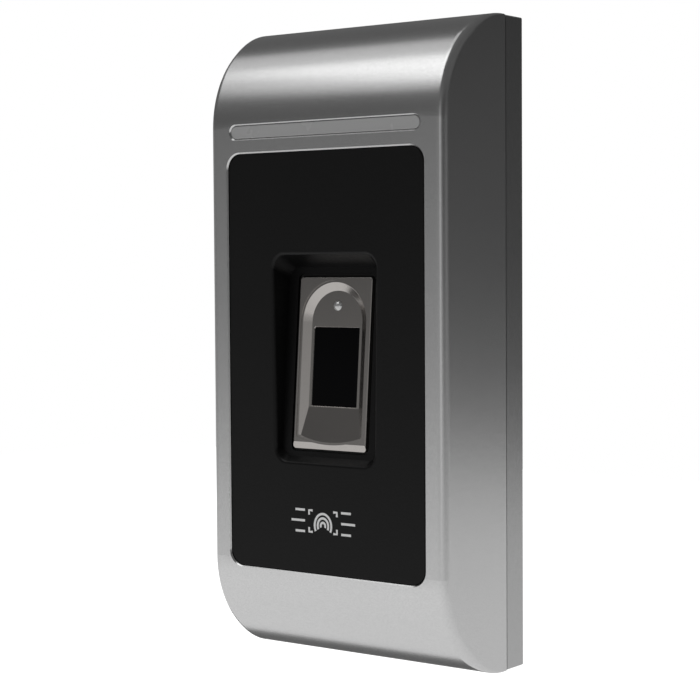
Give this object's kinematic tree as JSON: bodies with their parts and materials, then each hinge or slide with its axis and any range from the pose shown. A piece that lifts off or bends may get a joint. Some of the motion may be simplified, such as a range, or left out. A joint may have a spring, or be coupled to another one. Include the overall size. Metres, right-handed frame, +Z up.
{
  "type": "fingerprint scanner terminal",
  "caption": "Wall-mounted fingerprint terminal: silver cast shell, black panel with a metal finger guide and glass window, hooked on a wall plate and locked by a screw.",
  "frame": {"origin": "centre of the back face, on the wall plane", "axes": "+Z up, +Y into the wall, the front faces -Y"},
  "size_m": [0.0826, 0.04, 0.185],
  "materials": {
    "silver_paint": "satin silver paint with fine metallic flake",
    "base_paint": "satin silver paint",
    "black_panel": "finely textured black plastic",
    "black_rubber": "matt",
    "nickel_plate": "warm satin nickel plate",
    "window_glass": "dark glossy glass",
    "prism_glass": "clear optical glass",
    "dome_lens": "clear lens",
    "lens_plastic": "clear moulding",
    "led_plastic": "moulded",
    "board_green": "solder mask",
    "black_moulding": "fine spark texture",
    "steel_sheet": "rolled sheet",
    "zinc_screw": "zinc plated",
    "screw_steel": "stainless",
    "spring_steel": "drawn wire",
    "brass_insert": "turned",
    "ribbon_film": "polyimide film",
    "chip_black": "moulded epoxy",
    "capacitor_sleeve": "shrink sleeve",
    "relay_case": "moulded",
    "socket_white": "moulded nylon",
    "plunger_white": "acetal"
  },
  "bodies": {
    "wall_base": {"wall_plate": "base_paint", "cable_grommet": "black_rubber", "edge_seal": "black_rubber", "screw_insert": "brass_insert"},
    "terminal": {"front_shell": "silver_paint", "front_panel": "black_panel", "panel_gasket": "black_rubber", "panel_screws": "zinc_screw", "light_lens": "lens_plastic", "light_board": "board_green", "light_leds": "led_plastic", "light_screws": "zinc_screw", "finger_guide": "nickel_plate", "guide_gasket": "black_rubber", "status_dome": "dome_lens", "sensor_glass": "window_glass", "sensor_seal": "black_rubber", "sensor_prism": "prism_glass", "sensor_housing": "black_moulding", "sensor_camera": "black_moulding", "sensor_leds": "led_plastic", "status_led": "led_plastic", "sensor_board": "board_green", "sensor_bracket": "steel_sheet", "bracket_screws": "zinc_screw", "sensor_ribbon": "ribbon_film", "main_board": "board_green", "board_standoffs": "brass_insert", "board_screws": "zinc_screw", "main_chips": "chip_black", "capacitors": "capacitor_sleeve", "relay": "relay_case", "buzzer": "black_moulding", "cable_sockets": "socket_white", "sensor_socket": "socket_white", "tamper_switch": "black_moulding", "tamper_spring": "spring_steel", "back_cover": "black_moulding", "cover_screws": "zinc_screw"},
    "tamper_plunger": {"tamper_plunger": "plunger_white"},
    "security_screw": {"security_screw": "screw_steel"}
  },
  "joints": [
    {"name": "terminal_swing", "type": "hinge", "parent": "wall_base", "child": "terminal", "pos_m": [0, -0.012, 0.0901], "axis": [-1, 0, 0], "range_deg": [0, 15]},
    {"name": "plunger_travel", "type": "slide", "parent": "terminal", "child": "tamper_plunger", "axis": [0, 1, 0], "range_m": [0, 0.0018], "stiffness_N_per_m": 80, "springref_m": 0.004, "deforming": ["tamper_spring"]},
    {"name": "screw_travel", "type": "slide", "parent": "wall_base", "child": "security_screw", "axis": [0, 0, -1], "range_m": [0, 0.008]}
  ],
  "couplings": [
    {"joint": "plunger_travel", "follows": "terminal_swing", "m_per_rad": 0.0068}
  ]
}
